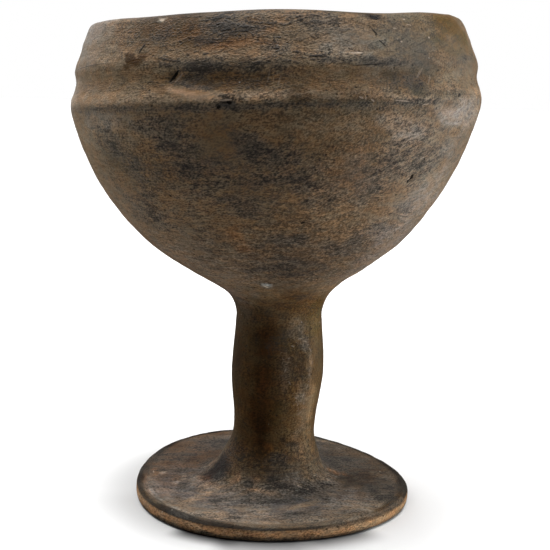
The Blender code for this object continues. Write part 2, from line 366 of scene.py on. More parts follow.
# A mark in the tables below is its direction, mm down from the lip, half width in degrees, half height
# in mm and, where it isn't level, how many mm it falls for each degree to the right.
PATCHES = (  # (*mark, colour, strength)
    # collar
    (-158, 10, 14, 12, GREY, 0.8),
    (-140, 13, 12, 7, TAN, 0.5),
    (-100, 15.5, 12, 3.5, -0.1, RUST, 0.45),
    (-99, 17.5, 18, 1.8, -0.03, TAN, 0.7),
    (-72, 12, 9, 6, GREY, 0.6),
    (-52, 11, 11, 11, (0.135, 0.103, 0.066), 0.85),
    (-31, 8, 12, 6, OCHRE, 0.8),
    (-32, 15, 13, 5, OCHRE, 0.35),
    (-27, 26, 12, 4, CLAY, 0.8),
    (-128, 1.6, 8, 1.8, UMBER, 0.7),
    # darker at the lip's right corner, for wear and painted shade
    (-32, 0.4, 24, 1.5, UMBER, 0.45),
    (-90, 1.8, 24, 1.4, UMBER, 0.4),
    (-74, 1.2, 14, 1.1, UMBER, 0.8),
    # painted shadow in the nick in the lip
    (-62.5, 3.2, 2.4, 1.5, BLACK, 0.9),
    (-122, 3.4, 1.5, 1.1, CHALK, 0.9),
    (-91, 10, 2.4, 1.4, RUST, 0.7),
    # hollow band and keel
    (-145, 25, 18, 4, CLAY, 0.6),
    (-104, 26, 10, 3.4, UMBER, 0.35),
    (-96, 27.5, 14, 3, 0.03, RUSSET, 0.5),
    (-82, 27, 7, 4, RUSSET, 0.5),
    (-80, 25, 8, 3, CLAY, 0.6),
    (-66, 25, 7, 4, GREY, 0.4),
    (-55, 29, 9, 4, 0.1, UMBER, 0.75),
    (-46, 24, 4, 3.4, 0.4, UMBER, 0.4),
    (-38, 27, 8, 4, CLAY, 0.5),
    (-110.5, 32.4, 7, 1.6, 0.22, BARE, 1),
    (-97, 33.6, 11, 1.2, 0.02, BARE, 0.6),
    (-138, 33, 18, 1.7, TAN, 0.5),
    (-84.5, 34, 2.4, 3.2, UMBER, 0.6),
    (-74, 33, 9, 2, CLAY, 0.9),
    (-44, 33.6, 14, 2, OLIVE, 0.85),
    # painted shadow in the chip under the keel
    (-101.5, 36.8, 1.7, 0.9, BLACK, 1),
    # body
    (-30, 41, 14, 5, 0.05, (0.28, 0.23, 0.18), 0.6),
    (-57, 45, 7, 4, 0.3, (0.3, 0.24, 0.18), 0.35),
    (-76, 44, 8, 4, TAN, 0.5),
    (-140, 42, 14, 3.5, GREY, 0.45),
    (-138, 54, 10, 9, 0.2, OLIVE, 0.7),
    (-150, 68, 14, 16, UMBER, 0.3),
    (-103, 47, 5, 4, RUSSET, 0.35),
    (-70, 62, 8, 9, TAN, 0.45),
    (-74, 78, 10, 9, 0.1, TAN, 0.45),
    (-112, 72, 9, 6, TAN, 0.25),
    (-104, 91, 4, 6, RUST, 0.42),
    (-40, 58, 8, 12, OLIVE, 0.5),
    (-28, 55, 8, 12, GREY, 0.3),
    (-28, 76, 9, 12, CLAY, 0.5),
    (-48, 90, 8, 5, TAN, 0.35),
    (-130, 94, 12, 9, TAN, 0.4),
    (-145, 101, 10, 8, 0.2, TAN, 0.35),
    (-125, 118, 20, 6, TAN, 0.5),
    (-113, 137, 8, 3, 0.05, ASH, 0.6),
    (-98, 126, 3.6, 2.9, CHALK, 0.95),
    (-100, 136.5, 4, 2.5, TAN, 0.7),
    # stem
    (-115, 147, 11, 4, RUSSET, 0.6),
    (-120, 158, 4, 1.8, BLACK, 0.6),
    (-142, 172, 22, 26, RUSSET, 0.4),
    (-110, 185, 11, 26, (0.1, 0.045, 0.01), 0.75),
    (-78, 149, 18, 6, CLAY, 0.6),
    (-66, 154, 10, 5, 0.1, ASH, 0.25),
    (-34, 152, 16, 9, OCHRE, 0.95),
    (-30, 166, 12, 5, OLIVE, 0.3),
    (-86, 170, 9, 8, CLAY, 0.5),
    (-81, 172, 5, 9, 0.2, TAN, 0.6),
    (-54, 161.5, 10, 3.4, GREY, 0.85),
    (-63, 171, 10, 11, 0.1, UMBER, 0.85),
    (-56, 184, 10, 3, 0.12, ASH, 0.65),
    (-46, 172, 5, 9, TAN, 0.7),
    (-44, 188, 20, 14, (0.3, 0.19, 0.1), 0.75),
    (-90, 191, 10, 6, OCHRE, 0.4),
    (-44, 202, 18, 5, TAN, 0.6),
    (-76.5, 202.4, 4.5, 1.5, BLACK, 0.75),
    (-62, 205, 8, 0.9, 0.03, BLACK, 0.7),
    (-97, 206, 6, 1.8, RUST, 0.75),
    (-66, 210, 8, 2.2, RUSSET, 0.5),
    (-97, 209.5, 10, 4, (0.15, 0.078, 0.02), 0.5),
    # foot
    (-158, 219, 18, 7, (0.03, 0.018, 0.008), 0.9),
    (-125.5, 220.5, 5, 3.2, (0.25, 0.155, 0.095), 0.95),
    (-104, 220.5, 4, 2, (0.2, 0.12, 0.07), 0.7),
    (-99.5, 224.5, 9, 1.4, 0.03, (0.27, 0.175, 0.11), 0.85),
    (-155, 234, 18, 6, GREY, 0.6),
    (-138, 231, 8, 5, TAN, 0.45),
    (-132.5, 240, 3, 13, (0.25, 0.175, 0.112), 0.65),
    (-166, 237, 4, 1.6, 0.05, ASH, 0.6),
    (-178, 250, 6, 2, (0.24, 0.15, 0.08), 0.7),
    (-176, 246.5, 2, 1.4, CHALK, 0.7),
    (-158.5, 241, 1.3, 1.2, CHALK, 0.6),
    (-163, 232, 1.2, 1, CHALK, 0.5),
    (-110, 249.5, 16, 3.6, (0.24, 0.18, 0.128), 0.55),
    (-96, 240, 10, 3.4, (0.2, 0.155, 0.11), 0.45),
    (-68, 237.5, 11, 1.6, -0.26, (0.26, 0.18, 0.112), 0.85),
    (-47.5, 244.5, 10, 4.6, (0.19, 0.15, 0.115), 0.6),
    (-16, 254.3, 10, 2, (0.16, 0.085, 0.035), 0.8),
    (-2, 224, 6, 2, RUST, 0.8),
    (0, 231, 4, 1.4, RUST, 0.7),
    (-64, 225.5, 1.6, 0.9, CHALK, 0.8),
    (-18, 240, 16, 12, UMBER, 0.45),
    # the foot's worn edge
    (-164, 256.7, 30, 1.3, UMBER, 0.85),
    (72, 256, 100, 1.8, CHARRED, 0.9),
    (-137, 256.2, 13, 1.7, UMBER, 0.85),
    (-170, 256.9, 22, 1.3, CHARRED, 0.85),
    (-8, 255.8, 16, 2.4, CHARRED, 0.8),
    (-55, 255.7, 16, 1, (0.19, 0.15, 0.11), 0.8),
    (-124, 257, 24, 1.2, BLACK, 0.9),
    (-62, 257.9, 12, 0.7, (0.2, 0.13, 0.08), 0.6),
    (-130, 256, 18, 1.7, BLACK, 0.9),
    (-105, 257.4, 20, 1, BLACK, 0.45),
    (-46, 260, 24, 1.2, (0.62, 0.38, 0.2), 0.7),
    (-30, 255.5, 14, 1.3, UMBER, 0.85),
    # painted highlight along the top edge of the foot, on the left
    (-144, 253.4, 20, 0.8, ASH, 0.5),
)
# Broad washes, where the clay is paler or darker; those marked below are painted shadow and painted
# sheen.
WASHES = (  # (*mark, share of the colour that is there)
    (-117, 8, 26, 8, (0.62, 0.56, 0.47)),
    (-32, 2.5, 14, 3.2, (1.12, 1.1, 1.08)),
    (-34, 6, 12, 4, (0.8, 0.7, 0.45)),
    (-68, 17, 9, 5, (1.2, 1.27, 1.38)),
    (-42, 18, 19, 5.5, (0.76, 0.79, 0.83)),
    (-140, 24.5, 30, 2.6, 1.2),
    (-82, 24.5, 9, 3, (1.27, 1.29, 1.33)),
    (-34, 27, 12, 4, (1.15, 1.28, 1.42)),
    (-104, 29.5, 16, 3.3, (0.64, 0.58, 0.46)),
    (-75, 30.5, 15, 1.8, (0.86, 0.8, 0.7)),
    (-53, 32.4, 9, 2.9, (0.5, 0.51, 0.46)),
    (-75, 36.2, 15, 1.7, (0.68, 0.71, 0.71)),
    (-105, 35.6, 14, 1.1, 1.35),
    # painted sheen at the bowl's left edge: paler and bluer
    (-146, 45, 24, 8, (1.3, 1.4, 1.56)),
    (-48, 54, 16, 13, (1.42, 1.42, 1.45)),
    # painted sheen at the bowl's left edge: paler and bluer
    (-153, 68, 14, 18, (1.28, 1.38, 1.56)),
    (-34, 72, 11, 12, (1.22, 1.33, 1.52)),
    (-67, 60, 8, 8, (0.84, 0.84, 0.88)),
    (-122, 58, 18, 8, (0.88, 0.86, 0.83)),
    (-128, 120, 26, 22, (1.31, 1.37, 1.53)),
    (-80, 112, 24, 21, (0.76, 0.75, 0.78)),
    (-55, 101, 8, 6, (0.78, 0.8, 0.86)),
    (-60, 143, 36, 8, (0.82, 0.7, 0.52)),
    (-145, 145, 24, 10, (0.98, 1.12, 1.55)),
    (-105, 180, 15, 30, (0.86, 0.76, 0.62)),
    (-67, 185, 8, 25, (1.14, 1.11, 1.08)),
    (-36, 180, 14, 20, (1.17, 1.21, 1.32)),
    (-152, 170, 12, 9, (0.72, 0.72, 0.75)),
    (-125, 207, 36, 7, (0.56, 0.5, 0.37)),
    (-75, 212, 15, 6, (0.72, 0.7, 0.68)),
    # painted shadow where the stem meets the foot on the left
    (-155, 217, 18, 8, (0.28, 0.17, 0.12)),
    (-132, 218, 9, 6, (0.88, 0.78, 0.62)),
    # painted sheen at the collar's left edge: paler and bluer
    (-155, 4, 14, 6, (1.28, 1.32, 1.48)),
    (-83, 6, 9, 5, (1.26, 1.23, 1.22)),
    (-106, 10, 16, 5, (0.95, 0.84, 0.67)),
    (-98, 34, 10, 2, 1.2),
    (-98, 130, 10, 8, (1.18, 1.18, 1.15)),
    (-66, 148, 24, 4, (1.15, 1.22, 1.25)),
    (-62, 227.5, 22, 4.5, (0.6, 0.67, 0.76)),
    (-75, 234, 15, 3.5, (0.72, 0.78, 0.88)),
    (-146, 243, 26, 13, (0.86, 0.84, 0.84)),
    (-96, 249, 20, 5, (1.14, 1.12, 1.13)),
    (-97, 3.6, 8, 1.8, (1.3, 1.35, 1.45)),
    (-42, 62, 18, 32, (1, 1.06, 1.2)),
    (-34, 100, 16, 24, (1, 1.07, 1.22)),
    (-132, 210, 9, 5, (0.78, 0.7, 0.5)),
    (-107, 200, 8, 8, 0.6),
    (-64, 218, 14, 5, (1.1, 1.24, 1.55)),
    (-35, 228, 12, 4, (1.18, 1.22, 1.28)),
    (150, 241, 50, 26, (0.56, 0.41, 0.3)),
    (24, 242, 42, 25, (0.42, 0.365, 0.3)),
    (-157, 228, 10, 3, (1.32, 1.18, 1.08)),
    (-165, 238, 26, 20, (1.56, 1.66, 1.85)),
    (-123, 226, 9, 8, (1.3, 1.28, 1.26)),
    (-111, 239, 9, 6, 1.15),
    (-46, 240, 10, 5, 1.24),
    (-32, 250, 12, 6, 1.25),
    (-168, 254.9, 22, 1.1, (1.55, 1.45, 1.4)),
    (-97, 219.5, 6, 2, 1.3),
    (-34, 118, 18, 26, (1.08, 1.08, 1.12)),
    (-152, 110, 14, 20, (1.1, 1.08, 1.1)),
    (-95, 134, 28, 22, (0.88, 0.88, 0.86)),
    (-108, 176, 24, 36, (0.76, 0.7, 0.6)),
    (-32, 172, 14, 34, (1.2, 1.18, 1.05)),
    (-64, 168, 12, 12, 1.14),
    (-48, 35.4, 9, 2.8, 1.42),
    (-116, 34, 14, 1.2, 1.2),
    (-77, 42, 9, 4, (0.84, 0.86, 0.86)),
    (-122, 3, 8, 3, 0.84),
    (-88, 253.4, 34, 1.4, 1.28),
    (-155, 250, 14, 6, (1.15, 1.16, 1.2)),
    (-130, 229, 14, 6, (1.22, 1.2, 1.22)),
    (-97, 234, 7, 3, 1.25),
    # painted shadow where the stem meets the foot on the left
    (-155, 222, 12, 3.4, (0.42, 0.25, 0.18)),
    (-42, 203, 14, 4, (0.84, 0.78, 0.64)),
    (-82, 176, 8, 18, (0.86, 0.86, 0.9)),
    (-79, 168, 8, 7, (0.78, 0.8, 0.84)),
    (-52, 181, 7, 7, (0.88, 0.9, 0.92)),
    (-136, 135, 20, 5, (1.14, 1.13, 1.15)),
    (-130, 148, 12, 4, (0.84, 0.84, 0.88)),
    (-82, 108, 9, 12, (0.84, 0.85, 0.87)),
    (-92, 78, 18, 15, (0.88, 0.85, 0.8)),
    (-84, 58, 22, 10, (0.9, 0.86, 0.83)),
    (-53, 47, 8, 5, 0.85),
    (-184, 258.5, 17, 3.5, (0.55, 0.52, 0.5)),
    (4, 258.5, 17, 3.5, 0.7),
    (-53, 178, 7, 10, (0.88, 0.9, 0.92)),
    (-102, 226, 12, 3, 0.88),
    (-78, 231, 8, 4, 0.74),
    (-138, 231, 8, 4, 1.12),
    (-32, 84, 10, 12, 1.06),
    (-62, 70, 8, 12, (0.9, 0.9, 0.92)),
    (-50, 92, 8, 6, (0.88, 0.88, 0.9)),
    (-138, 3, 8, 2.5, 1.18),
    (-77, 15, 8, 4, 1.15),
    (-137, 50, 9, 6, 1.18),
    (-122, 100, 10, 7, 0.86),
    (-62, 137, 9, 8, 0.85),
    (-32, 140, 9, 6, 0.86),
    (-47, 190, 8, 6, 0.9),
    (-62, 208, 7, 3, 0.84),
    (-107, 256.2, 9, 1.2, 1.35),
    (-152, 258.2, 10, 0.8, 1.35),
)
# Small patches with crisp edges that lie over all of those.
SHARP = (  # (*mark, colour, strength)
    (-129.4, 18.6, 2.1, 2.3, 0.4, STAINED, 1),
    (-126.2, 19, 1.9, 2.2, -0.5, STAINED, 0.95),
    (-130.4, 21.2, 1.3, 1.5, STAINED, 0.8),
    (-112.5, 32.5, 4.4, 0.9, 0.34, (0.44, 0.3, 0.198), 0.8),
    (-107, 34.3, 2.4, 0.8, 0.2, BARE, 0.6),
    (-98, 126, 2.6, 2, CHALK, 0.7),
    (-122.5, 220.4, 5, 2.2, 0.1, (0.275, 0.158, 0.085), 0.85),
    (-98, 224.3, 4.5, 0.9, 0.05, (0.27, 0.175, 0.108), 0.4),
    (-88, 225.6, 3, 0.8, 0.05, (0.26, 0.17, 0.11), 0.7),
    (-2.5, 227.5, 6, 2.2, (0.17, 0.085, 0.04), 0.65),
    (-148.5, 222, 6.5, 2.5, BLACK, 0.75),
    (-161, 221.5, 5, 1.5, BLACK, 0.5),
    (-107.5, 222.8, 5, 1.8, BLACK, 0.8),
    (-77, 222.8, 6, 2, BLACK, 0.6),
    (-88, 219.8, 4, 1.2, BLACK, 0.5),
    (-53, 226.6, 5, 1.6, BLACK, 0.5),
    (-42.5, 236.5, 3, 1.2, BLACK, 0.4),
    (-24, 233.5, 4, 1.5, BLACK, 0.4),
    (-28, 246, 2.6, 1.4, BLACK, 0.5),
    (-140, 257, 40, 0.7, BLACK, 0.5),
    (-148, 258.6, 30, 0.5, (0.3, 0.18, 0.1), 0.6),
    (-36, 257, 16, 0.5, (0.17, 0.12, 0.08), 0.5),
    (-38, 258.1, 18, 0.55, (0.11, 0.075, 0.048), 0.6),
)
# Soot, burnt on in the kiln.
SOOT = (  # (*mark, strength)
    (-121.5, 9.5, 3.5, 3.2, 0.6),
    (-104, 6.5, 6, 4, 0.7),
    (-97, 9.5, 7, 3, 0.55),
    (-107, 13, 4, 2, 0.6),
    (-80, 6, 6, 3, 0.55),
    (-89, 15, 3, 2, 0.5),
    (-55, 12, 6, 5, 0.3, 0.35),
    (-116, 20.5, 5, 1.6, 0.45),
    (-107.5, 22, 4.5, 3, 0.8),
    (-93, 23, 8, 3, 0.45),
    (-72, 20.6, 11, 1.3, 0.03, 0.6),
    (-78, 18, 6, 1.4, 0.5),
    (-60, 21.5, 7, 1.6, 0.45),
    (-57, 29, 8, 3, 0.35),
    (-28, 19, 8, 1.5, -0.08, 0.6),
    (-112, 28, 4, 3, 0.5),
    (-108, 31, 3, 1, 0.5),
    # along under the keel: soot, and painted shadow
    (-132, 37.6, 24, 1.3, 0.5),
    (-106, 37.8, 10, 1.5, 0.55),
    (-127.5, 19, 6, 4, -1.5),  # none on the stain
    (-101, 34.3, 4, 1.1, 0.6),
    (-113, 32.3, 6, 1.4, 0.34, -1.2),  # none on the bare patch
    # along under the keel: soot, and painted shadow
    (-76, 37.6, 16, 1.5, 0.01, 0.5),
    (-53, 36.6, 10, 1.3, -0.03, 0.65),
    (-117, 50, 7, 6, 0.3, 0.65),
    (-122, 43, 8, 4, 0.45),
    (-96, 49.5, 5, 4, 0.3, 0.6),
    (-132, 58, 6, 6, 0.4, 0.5),
    (-141, 49, 5, 5, 0.5),
    (-104, 62, 18, 8, 0.42),
    (-88, 60, 8, 8, 0.48),
    (-60, 54, 7, 8, 0.4),
    (-51, 55, 7, 8, 0.38),
    (-61, 67, 6, 8, 0.55),
    (-38, 56, 5, 9, 0.38),
    (-45, 61, 4, 8, 0.42),
    (-43, 80, 6, 5, 0.5, 0.35),
    (-78, 72, 7, 8, 0.4),
    (-98, 76, 9, 6, 0.42),
    (-118, 90, 10, 6, 0.25),
    (-134, 80, 10, 10, 0.42),
    (-87, 92.5, 8, 3.6, 0.08, 0.55),
    (-66, 99, 10, 4.5, -0.1, 0.5),
    (-54, 91, 7, 5, -0.2, 0.5),
    (-82, 106, 9, 4, 0.45),
    (-96, 110.5, 9, 3.6, 0.03, 0.55),
    (-82, 115, 10, 3, 0.02, 0.6),
    (-62, 112, 7, 3, 0.35),
    (-122, 113, 7, 2.4, 0.3),
    (-146, 98, 8, 5, 0.2, 0.45),
    (-84, 160, 9, 5, 0.45),
    (-98, 163, 8, 4, 0.35),
    (-83, 211, 14, 4, 0.55),
    (-86, 210, 5, 2.5, 0.5),
    (-147, 222.5, 7, 3.2, 0.85),
    (-112, 221, 8, 2.6, 0.04, 0.65),
    (-84, 221.5, 11, 3.4, 0.7),
    (-73, 224, 9, 3, 0.66),
    (-64, 227, 10, 3.6, 0.06, 0.7),
    (-94, 231.5, 18, 2.4, 0.02, 0.64),
    (-79, 231.5, 7, 3, 0.45),
    (-114.5, 234.5, 9, 2.2, 0.6),
    (-121, 238, 5, 3, 0.25, 0.65),
    (-118.5, 244.5, 7, 1.8, 0.6),
    (-104.5, 250.5, 4, 1.5, 0.6),
    (-156, 237, 5, 3, 0.1, 0.5),
    (-104, 247, 6, 2, 0.05, 0.4),
    (-76, 244.5, 8, 2.2, 0.62),
    (-60, 240.5, 9, 1.8, -0.35, 0.6),
    (-50.5, 234.5, 6, 3.6, 0.6),
    (-53, 228, 6, 3, 0.4),
    (-36, 229, 10, 4, 0.36),
    (-36, 222, 10, 3, 0.4),
    (-22.5, 243, 5, 2.6, 0.7),
    (-28.5, 249, 4, 2.2, 0.85),
    (-24, 252.5, 4, 1.6, 0.75),
    (-12, 250, 9, 4, 0.6),
    # the back, which is plainer
    (8, 10, 14, 6, 0.5),
    (55, 16, 20, 5, 0.6),
    (110, 8, 16, 5, 0.5),
    (165, 14, 12, 6, 0.5),
    (30, 50, 16, 10, 0.1, 0.6),
    (75, 64, 18, 12, 0.6),
    (120, 52, 14, 9, 0.6),
    (160, 80, 18, 10, 0.5),
    (10, 92, 18, 8, 0.5),
    (95, 104, 30, 8, 0.6),
    (60, 172, 40, 20, 0.4),
    (150, 205, 40, 6, 0.6),
    (40, 230, 34, 6, 0.7),
    (120, 240, 30, 7, 0.6),
    (170, 226, 16, 5, 0.5),
)


# How soft the edges of marks are, in shares of their half sizes.
SHARP_EDGE = 0.35
PATCH_EDGE = 0.8
WASH_EDGE = 1.2
SOOT_EDGE = 1.5
FOOT_START = (214, 224)
FOOT_END = (254, 257)
HELD = (148, 156, 204, 213)  # the part of the stem that hands kept clean
BARE_EDGE = (257.8, 258.4, 260.2, 261)  # the foot's worn edge


def patch(angle, along, rough, mark, soft):
    """How strongly a mark covers each point: 1 in its middle, falling off over a ragged edge."""
    direction, down, half_width, half_height, slant = (*mark, 0)[:5]
    right = np.degrees(turn_from(angle, direction))
    across, drop = right / half_width, (along - down - slant * right) / half_height
    inside = 1 + soft / 2 - np.sqrt(across * across + drop * drop) + 0.5 * rough
    return smooth_step(inside, 0, soft)


def colours(points, angle, along):
    """The clay's colour at each point, with the shadow, sheen and highlight painted into it, and how much
    soot lies on it.
    """
    turned = unrolled(points, along)
    outside = along > OUTSIDE
    ragged = layered(turned, (9, 9, 6), 41, 4)

    def painted(tint, marks, soft):
        for *mark, colour, strength in marks:
            cover = strength * patch(angle, along, ragged, mark, soft) * outside
            tint = tint + cover[:, None] * (np.array(colour) - tint)
        return tint

    # The bands wander, and the line under the foot's edge is ragged.
    wander = 0.9 * layered(turned, 14, 53) * (1 - smooth_step(along, 250, 254))
    at = along + wander + 0.9 * ragged * smooth_step(along, 259, 261)
    down, *channels = zip(*BANDS)
    tint = np.stack([np.interp(at, down, channel) for channel in channels], axis=-1)
    tint = painted(tint, PATCHES, PATCH_EDGE)
    for *mark, wash in WASHES:
        cover = patch(angle, along, 0.7 * ragged, mark, WASH_EDGE) * outside
        tint = tint * (1 + cover[:, None] * (np.array(wash) - 1))
    tint = painted(tint, SHARP, SHARP_EDGE)

    # The foot is mottled, and its soot lies in long streaks.
    foot = smooth_step(along, *FOOT_START)
    mottle = 0.26 * layered(points, (9, 4, 4), 73, 2) + 0.18 * layered(points, (3.4, 2, 2), 79, 2)
    tint = tint * (1 + foot * (1 - smooth_step(along, *FOOT_END)) * mottle)[:, None]
    streaks = 0.06 + 0.46 * layered(points, (18, 7, 7), 67)
    soot = 0.10 + 0.12 * layered(points, 30, 61) + 0.12 * layered(turned, (12, 12, 6), 71) * (1 - foot)
    soot = soot + foot * streaks - 0.22 * plateau(along, *HELD)
    for *mark, strength in SOOT:
        cover = strength * patch(angle, along, 0.6 * ragged, mark, SOOT_EDGE)
        soot = soot + (1 - soot) * cover * outside
    soot = soot * (1 - 0.85 * plateau(along, *BARE_EDGE))
    return tint, np.clip(soot, -1, 1)


# ---- the grain and the crust
POLISHED = (  # (*mark, strength)
    (-166, 16, 28, 24, 0.5),
    (-110.5, 32.4, 8, 2, 0.22, 0.6),
    (-166, 60, 26, 40, 0.45),
    (-26, 14, 14, 16, 0.7),
    (-28, 41, 14, 5, 0.35),
    (-58, 22, 13, 4, 0.35),
    (-20, 70, 14, 40, 0.1),
    (-53, 13, 9, 9, 0.6),
    (-70, 12, 5, 4, 0.5),
    (-104, 48, 6, 10, 0.6),
    (-34, 60, 14, 22, 0.2),
)
GRIT = (  # (mm down from the lip, how strongly the clay's grain shows)
    (-20, 0.6),
    (0, 1.2),
    (36, 1.2),
    (60, 1.15),
    (110, 1.15),
    (135, 1),
    (150, 0.8),
    (205, 0.95),
    (216, 1),
    (256, 1),
    (258.5, 0.9),
)
CRUSTED = (  # (*mark, strength)
    (-66, 172, 24, 20, 0.68),
    (-80, 106, 36, 34, 0.8),
    (-74, 72, 20, 26, 0.5),
    (-100, 25.5, 16, 6, 0.6),
    (-145, 18, 14, 12, 0.25),
    (-90, 242, 70, 3, 0.12),
    (-125, 178, 26, 30, 0.18),
)
FLARE_CRUST = 0.8
FLARE = (202, 209, 226, 232)  # where the stem widens into the foot
FOOT_LAY = (214, 222, 253, 256)  # the strokes on the foot run from side to side,
FOOT_LAY_MIDDLE = 215  # and count as this far down in its middle


def grain_lay(points, along):
    """Places whose third number changes fastest across the burnisher's strokes."""
    on_foot = FOOT_LAY_MIDDLE - points[:, 1]
    return unrolled(points, along + plateau(along, *FOOT_LAY) * (on_foot - along))


def grittiness(angle, along):
    """How strongly the clay's grain shows: less where the clay was polished."""
    grit = np.interp(along, *zip(*GRIT))
    for *mark, strength in POLISHED:
        grit = grit * (1 - strength * patch(angle, along, 0, mark, WASH_EDGE))
    return grit


def crust(angle, along):
    """Where a thin crust of earth still sticks, in pale grains and dark gaps, from 0 to 1."""
    flare = FLARE_CRUST * plateau(along, *FLARE)
    spots = [strength * patch(angle, along, 0, mark, WASH_EDGE) for *mark, strength in CRUSTED]
    return np.maximum.reduce([flare, *spots])


# ---- cuts and scrapes
# (direction, mm down from the lip, length, width, rise in degrees, strength)
CUTS = (
    (-115.3, 25.4, 6.8, 1.3, 50, 1),  # gouge in the hollow band
    (-126.3, 14.6, 5, 0.9, 60, 0.9),  # crack above the stain
    (-62.5, 3.2, 3.6, 2.4, -20, 1),  # nick in the lip
    (-63.5, 9.8, 5, 0.8, -60, 0.8),  # crack below it
    (-62.2, 14.2, 4, 0.8, -50, 0.7),
    (-89.5, 13, 3.6, 1.8, 20, 0.7),  # burnt specks
    (-89.5, 16, 2.8, 1.2, 20, 0.7),
    (-85, 17.5, 2.8, 1, 0, 0.7),
    (-80, 19, 5, 0.9, 0, 0.7),
    (-83.5, 6, 2.4, 1.2, 10, 0.6),
    (-67, 22.2, 13, 0.6, 3, 0.6),
    (-101.4, 36.6, 4.6, 1.5, 12, 1),  # chip under the keel
    (-103.2, 37.6, 2, 1.3, 40, 1),
    (-47.5, 65.5, 4.6, 1.9, 55, 1),  # slot left by a burnt-out straw
    (-121.5, 70.5, 1.6, 1.2, 20, 1),
    (-81, 83, 1.7, 1, 15, 1),
    (-126, 13.2, 22, 0.32, 1, 0.5),
    (-104, 13.5, 12, 0.36, 3, 0.6),
    (-84, 16.2, 16, 0.3, -1, 0.4),
    (-150, 20.4, 38, 0.4, 3, 0.6),
    (-169, 21.2, 2, 1.1, 0, 0.7),
    (-107, 17.6, 2.2, 0.7, 10, 0.9),
    (-122.5, 27.6, 3, 0.7, 15, 0.6),
    (-36, 34, 3.2, 1.2, 30, 0.8),
    (-71, 14, 7, 0.4, -24, 0.5),
    (-52, 97, 3.4, 0.5, -35, 0.6),
    (-128, 84, 3, 0.5, 30, 0.6),
    (-92, 71, 4, 0.4, 12, 0.6),
    (-66, 118, 5, 0.5, 12, 0.5),
    (132, 62, 4, 0.9, 40, 0.9),
    (64, 15, 14, 0.4, 4, 0.6),
    (28, 94, 2.2, 1.3, 0, 0.9),
)
SCRAPES = (
    (-122, 3.4, 2.6, 1.6, -10, 1),  # fresh chip in the lip
    (-114, 26.2, 5.6, 0.9, 50, 0.3),  # painted highlight on the clay pushed up beside the gouge
    (-101.6, 35.4, 5.4, 0.7, 3, 0.8),  # fresh edge above the chip
    (-70, 18, 6, 0.9, 0, 1),
    (-53, 6, 2.8, 0.8, 80, 0.8),
    (-51, 6, 2.8, 0.8, 80, 0.8),
    (-69.5, 35, 2, 0.8, -20, 0.5),
    (-66.5, 36, 2, 0.8, -30, 0.5),
    (-58, 36.2, 7, 0.5, -4, 0.5),
    (-50.5, 37.4, 4, 0.5, 8, 0.5),
    (-55, 52, 4, 0.5, 35, 0.5),
    (-50, 48, 5, 0.5, 20, 0.5),
    (-46, 57, 3, 0.5, 10, 0.5),
    (-51.5, 25.5, 6, 1.2, 55, 0.22),
    (-48, 28, 6, 1, 55, 0.2),
    (-53, 4.6, 1.4, 0.8, 0, 0.8),
    (-45.5, 12, 1.2, 0.9, 0, 0.8),
    (-56, 13.5, 1.2, 0.8, 0, 0.7),
    (-57, 8, 2, 0.6, 0, 0.6),
    (-91.5, 26, 6, 0.8, 80, 0.18),
    (-89, 28, 5, 0.8, 75, 0.18),
    (-72, 161.5, 1.8, 0.8, -20, 0.4),  # the crust round the worn spot on the stem
    (-62, 158.5, 2.4, 0.7, 12, 0.4),
    (-53, 160, 1.6, 0.9, -30, 0.45),
    (-45.5, 164, 2.4, 0.8, -60, 0.5),
    (-43, 169.5, 2, 0.7, 80, 0.4),
    (-46.5, 174.5, 1.6, 0.8, 60, 0.45),
    (-49, 179.5, 2.6, 0.7, 55, 0.45),
    (-55, 183.5, 2.4, 1, 25, 0.55),
    (-64, 184, 1.8, 0.9, -15, 0.5),
    (-58.5, 187.5, 2.2, 0.8, 10, 0.45),
    (-50.5, 187, 1.6, 0.9, 70, 0.45),
    (-55, 191.5, 3, 0.7, 40, 0.35),
    (-75, 177, 2.2, 0.7, -60, 0.35),
    (-81, 171.5, 2.4, 0.8, 70, 0.35),
    (-84.5, 166, 1.8, 0.9, -40, 0.4),
    (-77, 166.5, 1.6, 0.7, 30, 0.35),
    (-60.5, 223, 1, 0.7, 0, 0.7),  # flecks on the foot
    (-54, 226, 0.9, 0.7, 0, 0.6),
    (-66, 221.8, 1.2, 0.6, 20, 0.5),
    (-72, 224.6, 0.9, 0.6, 0, 0.4),
    (-100, 226.2, 1.6, 0.7, -20, 0.5),
    (-93, 227.8, 1.2, 0.6, 10, 0.4),
    (-161, 239.5, 1.8, 0.6, 60, 0.5),
    (-168, 237, 1.4, 0.6, 50, 0.45),
    (-177.5, 251, 3.2, 0.7, 10, 0.5),
    (95, 36, 5, 0.6, 4, 0.6),
)
CUTS_START = -1  # on the top of the lip
MARK_REACH = 1.6  # mm round a mark within which points know about it
UNMARKED = (9.0, 9.0, 0.0)  # far from any mark, and of no strength


def scored(angle, along, radius, marks):
    """Each point's place along and across the mark that it is near, 1 at its edge, and its strength.

    Where marks meet, the shorter one is kept.
    """
    local = np.tile(UNMARKED, (len(angle), 1))
    outside = along > CUTS_START
    for direction, down, length, width, rise, strength in sorted(marks, key=lambda mark: -mark[2]):
        u, v = on_mark(angle, along, radius, direction, down, rise)
        near = (abs(u) < length / 2 + MARK_REACH) & (abs(v) < width / 2 + MARK_REACH) & outside
        place = np.stack([u / (length / 2), v / (width / 2), 0 * u + strength], axis=1)
        local[near] = place[near]
    return local


# ---- the mesh
# The size of its faces along the outline, in mm: up to each of the places, and beyond the last.
FACE_PLACES = (-3, 3, 253, 263)
FACE_SIZES = (2, 0.8, 1.06, 0.62, 2.2)
NARROWEST = 0.95  # mm, round the chalice
FACET_STEP = 24  # rings have a multiple of this many facets
FACING_REACH = 0.6  # mm either side, over which the outline's direction is taken


